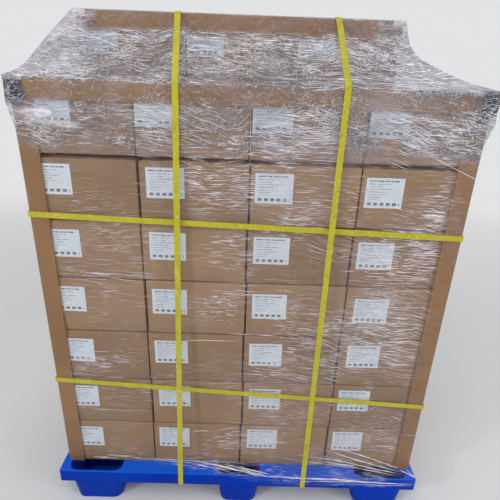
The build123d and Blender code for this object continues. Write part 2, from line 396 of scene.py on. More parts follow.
def setUpWorld():
    world = bpy.data.worlds.new("paleWorld")
    bpy.context.scene.world = world
    world.use_nodes = True
    tree = world.node_tree
    tree.nodes.clear()
    sources = ((1, 1, 1, 1), studio["worldStrength"]), (studio["backdrop"], 1.0)
    light, seen = [put(tree, "ShaderNodeBackground", {"Color": colour, "Strength": strength}).outputs[0]
                   for colour, strength in sources]
    both = mixShaders(tree, seenBy(tree, "Camera", "Transmission"), light, seen)
    put(tree, "ShaderNodeOutputWorld", {0: both})


def setUpFloor():
    clearSelection()
    bpy.ops.mesh.primitive_plane_add(size=studio["floorSize"], location=studio["floorAt"])
    floor = bpy.context.object
    floor.name = "studioFloor"
    bakePlace(floor)
    material, tree, shader = newMaterial("studioFloorPaint")
    shader.inputs["Base Color"].default_value = studio["floor"]
    shader.inputs["Roughness"].default_value = studio["floorRoughness"]
    # Far off, the floor takes the backdrop's colour, so that no horizon shows
    away = put(tree, "ShaderNodeVectorMath", {0: readObject(tree)}, operation="LENGTH").outputs["Value"]
    seen = seenBy(tree, "Camera", "Glossy", "Transmission")
    far = times(tree, ramp(tree, away, *studio["floorFade"]), seen)
    glow = put(tree, "ShaderNodeEmission", {"Color": studio["backdrop"], "Strength": 1.0})
    leave = next(n for n in tree.nodes if n.type == "OUTPUT_MATERIAL")
    plug(tree, mixShaders(tree, far, shader.outputs[0], glow.outputs[0]), leave.inputs["Surface"])
    floor.data.materials.append(material)


def setUpStudio():
    bpy.context.scene.view_settings.view_transform = "Standard"
    clearSelection()
    setUpCamera()
    setUpLamps()
    setUpWorld()
    setUpFloor()
    print("studio ready")


# Shared shader effects

def makeGrimeGroup():
    # Cloudy handling marks, 0 clean to 1 marked
    group, entry, leave = newGroup("handlingMarks", ["Vector", ("Scale", 6.0), ("Amount", 0.5)], ["Marks"])
    cloud = noiseAt(group, entry["Vector"], entry["Scale"], 5.0, 0.62)
    plug(group, times(group, ramp(group, cloud, 0.42, 0.72), entry["Amount"]), leave["Marks"])
    return group


def makeFibreGroup():
    # Paper fibres: a fine pale and dark fleck that colours and roughens kraft paper
    group, entry, leave = newGroup("paperFibres", ["Vector", ("Scale", 400.0)], ["Fleck", "Height"])
    flecks = noiseAt(group, stretched(group, entry["Vector"], (1.0, 1.0, 0.3)), entry["Scale"], 4.0, 0.7)
    plug(group, ramp(group, flecks, 0.35, 0.7), leave["Fleck"])
    plug(group, flecks, leave["Height"])
    return group


grimeGroup = makeGrimeGroup()
fibreGroup = makeFibreGroup()


def marksAt(tree, place, scale, amount):
    return useGroup(tree, grimeGroup, {"Vector": place, "Scale": scale, "Amount": amount})["Marks"]


def kraftPaper(tree, place, look):
    # Brown paper's colour, handling marks, cloudy tone and fibre height
    fibres = useGroup(tree, fibreGroup, {"Vector": place, "Scale": look["fibres"]})
    marks = marksAt(tree, place, *look["marking"])
    cloud = noiseAt(tree, place, look["clouds"], 4.0, 0.6)
    base = blendColour(tree, ramp(tree, cloud, 0.35, 0.65), look["dark"], look["pale"])
    base = blendColour(tree, marks, base, look["marks"])
    base = blendColour(tree, times(tree, fibres["Fleck"], look["flecking"]), base, look["fleck"])
    return base, marks, cloud, fibres["Height"]


# Cartons

cartonLook = {
    "pale": srgb(150, 121, 92),
    "dark": srgb(136, 108, 80),
    "marks": srgb(112, 86, 64),
    "fleck": srgb(184, 154, 122),
    "fluteShade": srgb(108, 80, 56),
    "fibres": 420.0,
    "clouds": 2.6,
    "marking": (5.5, 0.38),
    "flecking": 0.14,
    "flutePitch": 0.0078,
    "fluteWander": 0.004,
    "bump": 0.00036,
    "tint": 0.10,
    "edgeRound": 0.0022,
    "smoothTo": 50,
    # how full the faces to the front and back, and those to the sides, stand, and the flat strip round them
    "bulge": 0.0006,
    "sideBulge": 0.0021,
    "bulgeMargin": 0.038,
    # how far the top rises from its edges, and over what distance
    "crown": 0.0050,
    "crownRun": 0.024,
    "bulgedLayer": 6,
    "bulgedCrown": 0.0130,
    "bulgedRun": 0.048,
    "flapGap": 0.002,
    "flapDepth": 0.003,
}


def makeCartonMaterial():
    look = cartonLook
    material, tree, shader = newMaterial("cartonBoard")
    place = readObject(tree)
    base, _, _, fibreHeight = kraftPaper(tree, place, look)
    parts = split(tree, place)
    sideways = ramp(tree, maths(tree, "ABSOLUTE", facingOf(tree)["X"]), 0.4, 0.6)
    sides = {0: sideways, 2: parts["X"], 3: parts["Y"]}
    across = put(tree, "ShaderNodeMix", sides, data_type="FLOAT").outputs[0]
    wander = times(tree, noiseAt(tree, place, 9.0), look["fluteWander"])
    turned = times(tree, plus(tree, across, wander), 2 * math.pi / look["flutePitch"])
    flutes = ramp(tree, maths(tree, "SINE", turned), -1.0, 1.0)
    base = blendColour(tree, times(tree, flutes, 0.025), base, look["fluteShade"])
    tinted = put(tree, "ShaderNodeHueSaturation", {"Color": base, "Value": readAttribute(tree, "tint")})
    shader.inputs["Specular IOR Level"].default_value = 0.3
    dents = times(tree, noiseAt(tree, place, 14.0), 3.2)
    height = plus(tree, times(tree, flutes, 0.22), times(tree, fibreHeight, 0.35), dents)
    rough = ramp(tree, fibreHeight, 0.3, 0.7, 0.62, 0.82)
    coat(tree, shader, tinted.outputs[0], rough, height, 0.5, look["bump"])
    return material


def modelCarton(size, crown, run):
    # Shaped round the origin, standing on z = 0: crowned top, flap gap, slightly full sides
    look = cartonLook
    inside = look["bulge"]
    clearSelection()
    box = Vector((size.x - 2 * inside, size.y - 2 * inside, size.z - crown))
    bpy.ops.mesh.primitive_cube_add(size=1, location=(0, 0, box.z / 2), scale=box)
    piece = bpy.context.object
    bakePlace(piece)
    pick(piece, "FACE", lambda face: face.normal.z > 0.9)
    bpy.ops.mesh.inset(thickness=run)
    bpy.ops.transform.translate(value=(0, 0, crown))
    for axis in ((1, 0, 0), (-1, 0, 0), (0, 1, 0), (0, -1, 0)):
        wanted = Vector(axis)
        pick(piece, "FACE", lambda face: face.normal.dot(wanted) > 0.9)
        bpy.ops.mesh.inset(thickness=look["bulgeMargin"])
        bpy.ops.transform.translate(value=wanted * (look["sideBulge"] if axis[0] else inside))
    for side in (-1, 1):
        bpy.ops.mesh.select_all(action="SELECT")
        bpy.ops.mesh.bisect(plane_co=(0, side * look["flapGap"] / 2, 0), plane_no=(0, 1, 0))
    leaveEdit()
    pick(piece, "FACE", lambda face: face.normal.z > 0.7 and abs(face.center.y) < look["flapGap"] / 2)
    extrude(0, 0, -look["flapDepth"])
    leaveEdit()
    rounded = piece.modifiers.new("edges", "BEVEL")
    rounded.width = look["edgeRound"]
    rounded.segments = 2
    rounded.limit_method = "ANGLE"
    rounded.angle_limit = math.radians(60)
    applyModifiers(piece)
    bpy.ops.object.shade_smooth_by_angle(angle=math.radians(look["smoothTo"]))
    return piece


def buildCartons(material):
    look = cartonLook
    dice = random.Random(11)
    names = [f"carton_layer_{n}" for n in range(1, 8)] + ["carton_tier"]
    for number, nodeName in enumerate(names, 1):
        boxes = solidBoxes(nodeName)
        bulged = number == look["bulgedLayer"]
        crown = look["bulgedCrown"] if bulged else look["crown"]
        run = look["bulgedRun"] if bulged else look["crownRun"]
        master = modelCarton(boxes[0][1] - boxes[0][0], crown, run)
        copies = []
        for low, high in boxes:
            twin = copyOf(master, "carton", Vector(((low.x + high.x) / 2, (low.y + high.y) / 2, low.z)))
            tint = 1.0 + dice.uniform(-1, 1) * look["tint"]
            shades = twin.data.attributes.new("tint", "FLOAT", "POINT").data
            shades.foreach_set("value", [tint] * len(shades))
            copies.append(twin)
        bpy.data.objects.remove(master, do_unlink=True)
        dress(joinAll(copies, nodeName.replace("carton_", "cartons_")), material, [nodeName])
    print("cartons:", len(names), "layers")


# Clear tape over the flap gaps of the cartons whose tops show

tapeLook = {
    "colour": srgb(196, 160, 118),
    "width": 0.048,
    "down": 0.050,
    "above": 0.00012,
    "thickness": 0.00008,
}


def makeTapeMaterial():
    material, tree, shader = newMaterial("clearTape")
    bubbles = ramp(tree, noiseAt(tree, readObject(tree), 120.0, 4.0, 0.6), 0.5, 0.7)
    coat(tree, shader, tapeLook["colour"], ramp(tree, bubbles, 0, 1, 0.12, 0.4), bubbles, 0.3, 0.0002)
    plug(tree, ramp(tree, bubbles, 0, 1, 0.34, 0.55), shader.inputs["Alpha"])
    return material


def lowestEdgeAt(strip, x):
    # Accepts the edges at the lowest level that a strip has at one x
    verts = strip.data.vertices
    foot = min((v.co.z for v in verts if abs(v.co.x - x) < touching), default=0)

    def isThere(edge):
        ends = [strip.data.vertices[i].co for i in edge.vertices]
        return all(abs(end.x - x) < touching and abs(end.z - foot) < touching for end in ends)

    return isThere


def buildTape(material):
    look = tapeLook
    run = cartonLook["crownRun"]
    strips = []
    for nodeName in ("carton_layer_7", "carton_tier"):
        for low, high in solidBoxes(nodeName):
            level = (high.x - low.x) / 2 - run
            strip = startPlane(2 * level, look["width"])
            for side in (-1, 1):
                reach = side * level
                for x, z in ((side * (run + look["above"]), -cartonLook["crown"]), (0, -look["down"])):
                    pick(strip, "EDGE", lowestEdgeAt(strip, reach))
                    extrude(x, 0, z)
                    leaveEdit()
                    reach += x
            middle = Vector(((low.x + high.x) / 2, (low.y + high.y) / 2, high.z + look["above"]))
            strip.data.transform(Matrix.Translation(middle))
            strips.append(strip)
    tape = joinAll(strips, "carton_tape")
    thicken(tape, look["thickness"])
    dress(tape, material)
    print("tape strips:", len(strips))


# Shipping labels

labelLook = {
    "paper": srgb(202, 210, 219),
    "ink": srgb(44, 48, 60),
    "marks": srgb(172, 172, 172),
    "thickness": 0.00016,
    "curl": 0.0003,
    "cuts": 7,
    "tilt": 0.7,
    # v of each printed line, half its height, u from and to, ink strength, words per unit of u
    "lines": [
        (0.900, 0.022, 0.08, 0.86, 0.95, 16),
        (0.800, 0.015, 0.09, 0.66, 0.62, 22),
        (0.715, 0.015, 0.09, 0.46, 0.58, 22),
        (0.630, 0.015, 0.09, 0.70, 0.62, 20),
        (0.540, 0.015, 0.09, 0.52, 0.58, 24),
        (0.450, 0.014, 0.09, 0.60, 0.52, 22),
        (0.365, 0.014, 0.09, 0.42, 0.55, 22),
        (0.285, 0.013, 0.09, 0.36, 0.50, 22),
    ],
    # the same for the row of bars at the foot, with the share of its pitch that a bar fills
    "footBars": (0.135, 0.048, 0.08, 0.93, 0.80, 6),
    "barShare": 0.62,
}


def makeLabelMaterial():
    look = labelLook
    material, tree, shader = newMaterial("labelPaper")
    flat = split(tree, readUv(tree))
    u, v = flat["X"], flat["Y"]

    def row(numbers, broken):
        height, half, start, stop, strength, words = numbers
        return times(tree, within(tree, v, height - half, height + half), within(tree, u, start, stop),
                     broken(height, start, words), strength)

    def wordsOf(height, start, words):
        spots = put(tree, "ShaderNodeCombineXYZ", {0: times(tree, u, words), 1: height * 37})
        return ramp(tree, noiseAt(tree, spots.outputs[0], 1.6, 2.0, 0.8), 0.40, 0.50)

    def barsOf(height, start, bars):
        pitch = maths(tree, "FRACT", times(tree, maths(tree, "SUBTRACT", u, start), bars))
        return maths(tree, "LESS_THAN", pitch, look["barShare"])

    ink = most(tree, row(look["footBars"], barsOf), *[row(line, wordsOf) for line in look["lines"]])
    place = readObject(tree)
    paper = blendColour(tree, marksAt(tree, place, 14.0, 0.10), look["paper"], look["marks"])
    fibres = useGroup(tree, fibreGroup, {"Vector": place, "Scale": 700.0})["Height"]
    coat(tree, shader, blendColour(tree, ink, paper, look["ink"]), ramp(tree, fibres, 0.3, 0.7, 0.38, 0.52),
         fibres, 0.2, 0.0001)
    return material


def buildLabels(material):
    look = labelLook
    dice = random.Random(5)
    labels = []
    for low, high in solidBoxes("shipping_labels"):
        wide, tall = high.x - low.x, high.z - low.z
        label = startPlane(wide, tall, (math.radians(90), 0, 0))
        editAll(label)
        bpy.ops.mesh.subdivide(number_cuts=look["cuts"])
        leaveEdit()
        lifted = dice.choice((-1, 1))
        for vert in label.data.vertices:
            edge = max(0.0, lifted * vert.co.x / (wide / 2)) * max(0.0, -vert.co.z / (tall / 2))
            vert.co.y -= look["curl"] * edge ** 2
        turn = math.radians(dice.uniform(-look["tilt"], look["tilt"]))
        middle = Vector(((low.x + high.x) / 2, high.y - look["thickness"] / 2, (low.z + high.z) / 2))
        label.data.transform(Matrix.Translation(middle) @ Matrix.Rotation(turn, 4, "Y"))
        labels.append(label)
    joined = joinAll(labels, "carton_labels")
    thicken(joined, look["thickness"])
    dress(joined, material, ["shipping_labels"])
    print("labels:", len(labels))


# Edge boards: the CAD pieces with a laminated paperboard finish

boardLook = {
    "pale": srgb(146, 107, 66),
    "dark": srgb(125, 90, 53),
    "marks": srgb(112, 80, 50),
    "fleck": srgb(186, 148, 104),
    "fibres": 300.0,
    "clouds": 4.0,
    "marking": (9.0, 0.45),
    "flecking": 0.12,
}


def makeBoardMaterial():
    material, tree, shader = newMaterial("edgeBoard")
    base, marks, cloud, fibreHeight = kraftPaper(tree, readObject(tree), boardLook)
    height = plus(tree, times(tree, cloud, 2.5), fibreHeight)
    coat(tree, shader, base, ramp(tree, marks, 0, 0.5, 0.42, 0.62), height, 0.4, 0.0004)
    return material


# Straps

strapLook = {
    "colour": srgb(190, 182, 34),
    "dark": srgb(156, 146, 24),
    "scuff": srgb(122, 110, 30),
    "bright": srgb(226, 220, 96),
    "embossPitch": 0.0032,
}


def makeStrapMaterial():
    look = strapLook
    material, tree, shader = newMaterial("yellowStrap")
    place = readObject(tree)
    parts = split(tree, place)
    lengthwise = plus(tree, parts["Z"], parts["Y"])
    turns = 2 * math.pi / look["embossPitch"]
    waves = [maths(tree, "SINE", times(tree, maths(tree, way, lengthwise, parts["X"]), turns))
             for way in ("ADD", "SUBTRACT")]
    diamonds = times(tree, *waves)
    marks = marksAt(tree, place, 22.0, 0.5)
    darkSpotsAndGlints = noiseAt(tree, place, 85.0, 3.0, 0.7)
    base = blendColour(tree, marks, look["colour"], look["dark"])
    # The emboss's hollows take a painted shade, besides the bump
    base = blendColour(tree, ramp(tree, diamonds, -1.0, 0.2, 0.25, 0.0), base, look["dark"])
    # Darker spots
    base = blendColour(tree, ramp(tree, darkSpotsAndGlints, 0.42, 0.30, 0.0, 0.55), base, look["scuff"])
    # Pale spots: painted highlights
    base = blendColour(tree, ramp(tree, darkSpotsAndGlints, 0.60, 0.68, 0.0, 0.5), base, look["bright"])
    coat(tree, shader, base, ramp(tree, marks, 0, 0.5, 0.28, 0.42), diamonds, 0.5, 0.0002)
    return material


# Pallet

palletLook = {
    "blue": srgb(0, 60, 190),
    "deep": srgb(0, 48, 162),
    "deck": srgb(30, 100, 226),
    "scuff": srgb(58, 106, 206),
    "marks": srgb(40, 72, 140),
    "scratches": ((3.0, 60.0, 160.0), 8.0),
    "shine": 0.04,
}


def makePalletMaterial():
    look = palletLook
    material, tree, shader = newMaterial("palletPlastic")
    place = readObject(tree)
    cloud = noiseAt(tree, place, 3.0, 4.0, 0.55)
    scratches = noiseAt(tree, stretched(tree, place, *look["scratches"]), 2.4, 3.0, 0.6)
    scratched = times(tree, ramp(tree, scratches, 0.64, 0.72),
                      ramp(tree, noiseAt(tree, place, 5.0), 0.45, 0.65, 0.0, 0.5))
    marks = marksAt(tree, place, 11.0, 0.22)
    base = blendColour(tree, ramp(tree, cloud, 0.35, 0.7), look["deep"], look["blue"])
    # Faces turned up are painted a lighter blue: painted light from above
    base = blendColour(tree, ramp(tree, facingOf(tree)["Z"], 0.7, 0.95, 0.0, 0.8), base, look["deck"])
    base = blendColour(tree, scratched, base, look["scuff"])
    base = blendColour(tree, marks, base, look["marks"])
    shader.inputs["Specular IOR Level"].default_value = look["shine"]
    rough = ramp(tree, plus(tree, marks, scratched), 0, 0.6, 0.40, 0.60)
    height = plus(tree, noiseAt(tree, place, 900.0, 2.0), times(tree, cloud, 6.0))
    coat(tree, shader, base, rough, height, 0.25, 0.0003)
    return material


# Stretch film

filmLook = {
    "skin": 0.0008,            # middle of the web, out from what it lies on
    "across": 0.010,           # size of a grid cell
    "up": 0.0125,
    "cornerRound": 0.005,
    "cornerSteps": 3,
    "skirt": 0.030,
    "hemRise": 0.011,
    "border": 0.088,
    # how far below the hem line the film reaches, as (x along the front, reach)
    "frontDrop": [(-0.60, -0.006), (-0.37, -0.004), (-0.20, 0.020), (-0.02, 0.046), (0.14, 0.080)],
    "leftDrop": [(-0.50, -0.006), (-0.30, 0.0), (0.05, 0.080)],
    # how far the tent's sides fall inwards, as (share of the slope from its foot, distance)
    "tentRight": [(0.0, 0.0), (0.08, 0.041), (0.33, 0.077), (0.44, 0.090), (0.62, 0.074), (0.84, 0.032),
                  (1.0, 0.0)],
    "tentLeft": [(0.0, 0.0), (0.08, 0.024), (0.30, 0.012), (0.60, 0.004), (1.0, 0.0)],
    "tentFront": 0.010,
    "tierClear": 0.0045,
    # the loose flap that stands off each front corner: how far out, and its middle below the shoulder
    "earReach": 0.020,
    "earBelow": 0.036,
    # painted glare, pale highlight patches on the front: x, z, reach across, reach up, amount
    "glare": [
        (-0.51, 1.264, 0.050, 0.022, 0.26), (-0.45, 1.246, 0.035, 0.014, 0.14),
        (-0.10, 1.29, 0.08, 0.030, 0.05), (0.36, 1.31, 0.09, 0.03, 0.06),
        (-0.05, 1.10, 0.07, 0.05, 0.06), (0.42, 0.74, 0.14, 0.10, 0.04),
    ],
    # clusters of level streaks on the front, with the same five numbers
    "clusters": [
        (-0.07, 1.12, 0.09, 0.05, 1.0), (-0.02, 1.07, 0.05, 0.04, 0.6), (-0.07, 0.92, 0.10, 0.07, 0.7),
        (-0.07, 0.76, 0.10, 0.06, 0.5), (-0.38, 0.84, 0.10, 0.02, 0.6), (-0.42, 0.56, 0.10, 0.05, 0.8),
        (-0.30, 0.46, 0.06, 0.02, 0.5), (0.15, 1.02, 0.12, 0.05, 0.6), (0.42, 1.06, 0.15, 0.08, 0.45),
        (0.42, 0.92, 0.14, 0.07, 0.5), (0.42, 0.72, 0.14, 0.10, 0.5), (0.42, 0.55, 0.13, 0.08, 0.4),
        (0.16, 0.72, 0.12, 0.10, 0.5), (0.15, 0.55, 0.12, 0.06, 0.6), (0.02, 0.24, 0.14, 0.05, 0.5),
    ],
    "tone": srgb(248, 244, 250),
    "haze": srgb(184, 176, 188),
    # grey painted shade of crumpled film
    "shade": srgb(128, 132, 142),
    "cool": srgb(214, 232, 255),
    "corner": srgb(46, 48, 70),
    # short crumple lines: detail per metre along and across them, degrees, seed
    "crumples": [(34, 520, 34, 1.3), (30, 500, -28, 4.1), (40, 520, 64, 7.7), (44, 540, -58, 2.9),
                 (14, 460, 9, 9.2), (15, 440, -12, 6.2)],
    # patches per metre, then the noise at which a line and a patch begin and are full
    "crumpleEdges": (10.0, 0.600, 0.640, 0.46, 0.58),
    # longer lines, all nine numbers each
    "lines": {
        "long": (8, 420, -1.5, 3.3, 4.0, 0.600, 0.640, 0.42, 0.56),
        "dashes": (22, 480, 1.0, 8.1, 6.0, 0.590, 0.630, 0.42, 0.55),
        "threads": (11, 440, -2.0, 6.1, 5.0, 0.590, 0.640, 0.05, 0.15),
        "brushed": (6, 150, -0.5, 2.2, 5.0, 0.46, 0.70, 0.34, 0.56),
        "pulls": (8, 380, -20.0, 5.7, 5.0, 0.590, 0.640, 0.42, 0.56),
        "cross": (14, 400, 30.0, 6.6, 6.0, 0.61, 0.66, 0.48, 0.60),
        "rising": (6, 430, 58.0, 1.9, 5.0, 0.590, 0.640, 0.38, 0.50),
        "falling": (6, 430, 122.0, 3.9, 5.0, 0.590, 0.640, 0.38, 0.50),
    },
    "glints": (260, 500, 24.0),
    "ior": 1.45,
    "shine": 0.26,
}

# What the film lies on, from the CAD nodes
topFoot, shoulder = (corner.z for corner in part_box("top_board_front"))
tierBoardLow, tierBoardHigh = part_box("tier_board_front")
tierTop = tierBoardHigh.z
sideOut = blockLow.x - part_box("corner_board_front_left")[0].x
filmLeft = blockLow.x - sideOut
filmRight = blockHigh.x + sideOut
filmFront = blockLow.y - sideOut


def middleOf(values):
    return (min(values) + max(values)) / 2


def verticalPath(name):
    # A vertical strap's middle on the front, as (z, x) at the deck, the block's edge and the crest
    low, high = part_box(name)
    spots = [vert.co for vert in nodes[name].data.vertices]
    foot = [spot.x for spot in spots if spot.z < deckZ and spot.y < low.y + 0.003]
    edge = [spot.x for spot in spots if spot.y < 0 and abs(spot.z - shoulder) < 0.006]
    crest = [spot.x for spot in spots if spot.z > high.z - 0.004]
    return [(deckZ, middleOf(foot)), (shoulder, middleOf(edge)), (high.z, middleOf(crest))]


def girthPath(name):
    # A girth strap's middle on the front, as (x, z) at both ends
    spots = [vert.co for vert in nodes[name].data.vertices if vert.co.y < 0]
    return [(end.x, middleOf([spot.z for spot in spots if abs(spot.x - end.x) < 0.002]))
            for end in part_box(name)]


verticalPaths = [verticalPath(name) for name in ("strap_vertical_left", "strap_vertical_right")]
girthPaths = [girthPath(name) for name in ("strap_girth_upper", "strap_girth_lower")]


def filmRings():
    # Levels of the wrap as (zone, z, left, right, front, back), from the skirt's hem upwards
    look = filmLook
    skin = look["skin"]

    def around(low, high, out):
        return low.x - out, high.x + out, low.y - out, high.y + out

    pallet = around(palletLow, palletHigh, skin)
    wall = around(blockLow, blockHigh, sideOut + skin)
    tierOut = tierLow.y - tierBoardLow.y + skin
    return [
        ("skirt", deckZ - look["skirt"], *pallet),
        ("lip", deckZ + skin, *pallet),
        ("hem", deckZ + look["hemRise"], *wall),
        ("shoulder", shoulder + skin, *wall),
        ("tierTop", tierTop + skin, *around(tierLow, tierHigh, tierOut)),
        ("border", tierTop + skin, *around(tierLow, tierHigh, tierOut - look["border"])),
    ]


def ringPoints(z, left, right, front, back, columnsX, columnsY):
    # A rounded rectangle from the front left corner, anticlockwise seen from above
    r = filmLook["cornerRound"]
    steps = filmLook["cornerSteps"]
    corners = [(left + r, front + r, 180), (right - r, front + r, 270),
               (right - r, back - r, 0), (left + r, back - r, 90)]

    def onCorner(k, degrees):
        x, y, start = corners[k % 4]
        angle = math.radians(start + degrees)
        return Vector((x + r * math.cos(angle), y + r * math.sin(angle), z))

    points = []
    for k in range(4):
        points += [onCorner(k, 90 * step / steps) for step in range(steps + 1)]
        columns = columnsY if k % 2 else columnsX
        here, there = points[-1].copy(), onCorner(k + 1, 0)
        points += [here.lerp(there, column / columns) for column in range(1, columns)]
    return points


def between(table, at):
    if at <= table[0][0]:
        return table[0][1]
    for (a, first), (b, second) in zip(table, table[1:]):
        if at <= b:
            return first + (second - first) * (at - a) / max(b - a, 1e-9)
    return table[-1][1]


def fade(value, low, high):
    share = min(1.0, max(0.0, (value - low) / (high - low)))
    return share * share * (3 - 2 * share)


def rollAt(point, scaleX, scaleY, scaleZ):
    return noise.noise(Vector((point.x * scaleX, point.y * scaleY, point.z * scaleZ)))


def rollAbove(point, scale, seed):
    # The same, over the ground plan only
    return noise.noise(Vector((point.x * scale, point.y * scale, seed)))


def ridge(point, scale, seed=0.0):
    # Sharp creases: 1 on a crease, 0 away from it
    value = noise.noise(point * scale + Vector((seed, -seed, seed * 0.7)))
    return 1.0 - min(1.0, abs(value) * 3.2)


def freedom(point, normal):
    # 0 where a strap or a board holds the film, 1 where it spans free
    onFront = abs(normal.y) > 0.5
    holds = [fade(abs(point.z - between(path, point.x)), 0.012, 0.045) for path in girthPaths]
    if onFront:
        holds += [fade(abs(point.x - between(path, point.z)), 0.012, 0.050) for path in verticalPaths]
    if deckZ + 0.015 < point.z < shoulder + 0.004:
        if onFront:
            holds.append(fade(min(point.x - blockLow.x, blockHigh.x - point.x), 0.040, 0.075))
            holds.append(fade(topFoot - point.z, 0.0, 0.030))
        if abs(normal.x) > 0.5:
            holds.append(fade(min(point.y - blockLow.y, blockHigh.y - point.y), 0.040, 0.075))
    return min(holds)


def buildFilmGrid():
    # The flat web as rows of (points, zone, share of the zone), and each row's distance up it
    look = filmLook
    rings = filmRings()
    _, _, left, right, front, back = rings[3]
    columns = round((right - left) / look["across"]), round((back - front) / look["across"])
    rows = []
    heights = []
    v = 0.0
    for lower, upper in zip(rings, rings[1:]):
        first = ringPoints(*lower[1:], *columns)
        second = ringPoints(*upper[1:], *columns)
        slant = (second[columns[0] // 2] - first[columns[0] // 2]).length
        count = max(2, round(slant / look["up"]))
        for step in range(count + (upper is rings[-1])):
            share = step / count
            rows.append(([a.lerp(b, share) for a, b in zip(first, second)], lower[0], share))
            heights.append(v + slant * share)
        v += slant
    return rows, heights


def filmNormals(rows):
    normals = []
    for r, (points, _, _) in enumerate(rows):
        below = rows[max(r - 1, 0)][0]
        above = rows[min(r + 1, len(rows) - 1)][0]
        onward = [after - before for after, before in zip(points[1:] + points[:1], points[-1:] + points[:-1])]
        normals.append([step.cross(top - foot).normalized() for step, top, foot in zip(onward, above, below)])
    return normals


def shapePoint(point, normal, zone, share, left, right, front, back):
    # Where a point of the flat web hangs, with its sag and crumple
    look = filmLook
    moved = point.copy()
    free = freedom(point, normal)
    crease = ridge(point, 9.0) * 0.6 + ridge(point, 21.0, 3.1) * 0.4
    roll = noise.noise(point * 5.0)
    if zone == "skirt":
        hang = max(0.0, rollAbove(point, 6, 4.0)) * (1 - share)
        moved += normal * (0.0010 + 0.0022 * hang + 0.0006 * crease)
        if share == 0:
            moved.z += 0.010 * rollAbove(point, 9, 1.0)
    elif zone == "lip":
        moved += normal * (0.0006 + 0.0012 * crease)
    elif zone == "hem":
        upper = fade(point.z, topFoot - 0.22, topFoot)
        depth = 0.0010 + 0.0016 * (0.5 + roll) + (0.0006 + 0.0012 * upper) * crease
        moved -= normal * (min(0.0040, free * depth) - 0.0003 * crease * (1 - free))
    elif zone == "shoulder":
        wave = (0.005 * roll + 0.004 * crease) * min(1.0, 5 * share, 5 * (1 - share))
        sag = fade(-normal.y, 0.2, 0.6) * look["tentFront"] * math.sin(math.pi * share)
        # The corners keep their round
        fromCorner = max(min(right - point.x, point.x - left), min(back - point.y, point.y - front))
        moved -= normal * (free * fade(fromCorner, 0.004, 0.060) * (sag + wave))
        moved.x -= fade(point.x / right, 0.45, 1.0) * between(look["tentRight"], share)
        moved.x += fade(point.x / left, 0.55, 1.0) * between(look["tentLeft"], share)
        clear = look["tierClear"]
        if tierLow.y - clear < moved.y < tierHigh.y + clear and moved.z < tierHigh.z + clear:
            if point.x > tierHigh.x:
                moved.x = max(moved.x, tierHigh.x + clear)
            elif point.x < tierLow.x:
                moved.x = min(moved.x, tierLow.x - clear)
    else:
        ragged = 0.030 * rollAbove(point, 7, 9.0) * share
        moved.x += ragged * math.copysign(1.0, point.x) * fade(abs(normal.x), 0.3, 0.7)
        moved.y += ragged * math.copysign(1.0, point.y) * fade(abs(normal.y), 0.3, 0.7)
        moved.z += 0.0003 * crease
    return moved


def earAt(point):
    # Loose film stands off both front corners at the shoulder
    look = filmLook
    offset = Vector((0, 0, 0))
    for side, cornerX in ((-1, filmLeft), (1, filmRight)):
        away = math.hypot(point.x - cornerX, point.y - filmFront)
        rise = abs(point.z - (shoulder - look["earBelow"]))
        near = fade(0.075 - away, 0.0, 0.065) * fade(0.092 - rise, 0.0, 0.060)
        if near > 0:
            flap = 0.75 + 0.5 * noise.noise(point * 28.0)
            offset += Vector((side * 0.92, -0.4, 0.12)) * look["earReach"] * near * flap
    return offset


def shapeFilm(rows, normals):
    shaped = []
    for (points, zone, share), facing in zip(rows, normals):
        xs = [point.x for point in points]
        ys = [point.y for point in points]
        sides = min(xs), max(xs), min(ys), max(ys)
        shaped.append([shapePoint(point, normal, zone, share, *sides) + earAt(point)
                       for point, normal in zip(points, facing)])
    return shaped


def gathered(spots, point):
    total = 0.0
    for x, z, reachX, reachZ, amount in spots:
        away = math.hypot((point.x - x) / reachX, (point.z - z) / reachZ)
        total += amount * fade(1.5 - away, 0.0, 1.2)
    return total


def darkAt(point):
    # The film gathered over both front corners of the top board looks nearly black
    nearX = min(abs(point.x - filmLeft), abs(point.x - filmRight))
    away = math.hypot(nearX, point.y - filmFront)
    rise = abs(point.z - (shoulder - 0.030))
    rough = 0.012 * noise.noise(point * 30.0)
    return fade(0.046 - away + rough, 0.0, 0.014) * fade(0.038 - rise + rough, 0.0, 0.014)


def pleatsAt(point, normal):
    # 1 where pleats rise to the right by a corner of the tent, -1 where they fall, 0 between the corners
    if abs(normal.y) > abs(normal.x):
        way = (point.x - filmLeft) / (filmRight - filmLeft)
        way = 1 - way if normal.y > 0 else way
    else:
        way = (point.y - filmFront) / (-2 * filmFront)
        way = 1 - way if normal.x < 0 else way
    return 1 - fade(way, 0.10, 0.26) - fade(way, 0.74, 0.90)


def belowHem(point, zone, share):
    # Distance down the web from the hem line
    flare = math.hypot(blockLow.y - palletLow.y - sideOut, filmLook["hemRise"])
    if zone == "skirt":
        return flare + (1 - share) * filmLook["skirt"]
    if zone == "lip":
        return (1 - share) * flare
    return deckZ + filmLook["hemRise"] - point.z


def coverAt(point, zone, share):
    # 1 where there is film, fading to 0 past its ragged lower edge
    if zone not in ("skirt", "lip", "hem"):
        return 1.0
    reach = 1.0
    if point.y < blockLow.y:
        reach = between(filmLook["frontDrop"], point.x)
    elif point.x < blockLow.x:
        reach = between(filmLook["leftDrop"], point.y)
    reach += 0.006 * rollAbove(point, 14, 2.0)
    return fade(reach - belowHem(point, zone, share), -0.004, 0.003)


filmFields = ("haze", "crumple", "streaks", "slants", "glareAmount", "pleats", "dark", "cover")


